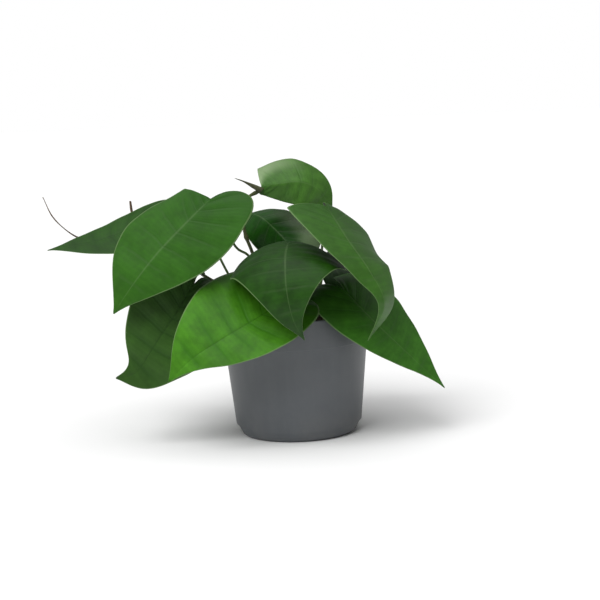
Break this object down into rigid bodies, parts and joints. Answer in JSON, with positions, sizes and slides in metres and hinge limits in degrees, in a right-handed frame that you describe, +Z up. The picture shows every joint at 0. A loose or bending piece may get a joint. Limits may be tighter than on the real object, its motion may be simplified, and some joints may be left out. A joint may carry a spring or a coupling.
{
  "type": "potted philodendron",
  "caption": "Young heartleaf philodendron with drooping heart-shaped leaves on short vines, in a round grey nursery pot",
  "frame": {"origin": "centre of the flat base plate under the pot", "axes": "+Z up along the pot's axis; -Y is the plant's front; +X runs to the right seen from the front, along the plant's longest spread"},
  "size_m": [0.3171, 0.1998, 0.219],
  "materials": {
    "pot_plastic": "satin grey moulded plastic",
    "peat": "damp crumbly peat",
    "leaf_mature": "satin green leaf",
    "leaf_dark": "satin dark green leaf",
    "leaf_young": "satin bright green leaf",
    "stalk_green": "smooth green stalk",
    "vine_green": "smooth olive green vine",
    "dry_brown": "dry brown",
    "sheath_olive": "drying olive sheath"
  },
  "bodies": {
    "root": {"pot": "pot_plastic", "soil": "peat", "leaf_top": "leaf_young", "leaf_large_left": "leaf_mature", "leaf_rear_left": "leaf_dark", "leaf_low_left": "leaf_dark", "leaf_front_left": "leaf_young", "leaf_front_centre": "leaf_mature", "leaf_upper_centre": "leaf_mature", "leaf_large_right": "leaf_mature", "leaf_low_right": "leaf_mature", "leaf_back_right": "leaf_dark", "leaf_back_centre": "leaf_mature", "leaf_back_left": "leaf_dark", "stalk_large_left": "stalk_green", "stalk_low_left": "stalk_green", "stalk_front_left": "stalk_green", "stalk_front_centre": "stalk_green", "stalk_upper_centre": "stalk_green", "stalk_large_right": "stalk_green", "stalk_low_right": "stalk_green", "stalk_back_right": "stalk_green", "stalk_back_centre": "stalk_green", "stalk_back_left": "stalk_green", "vine_top": "vine_green", "vine_rear_left": "vine_green", "aerial_root": "dry_brown", "old_vine_end": "dry_brown", "leaf_sheath": "sheath_olive"}
  },
  "joints": []
}
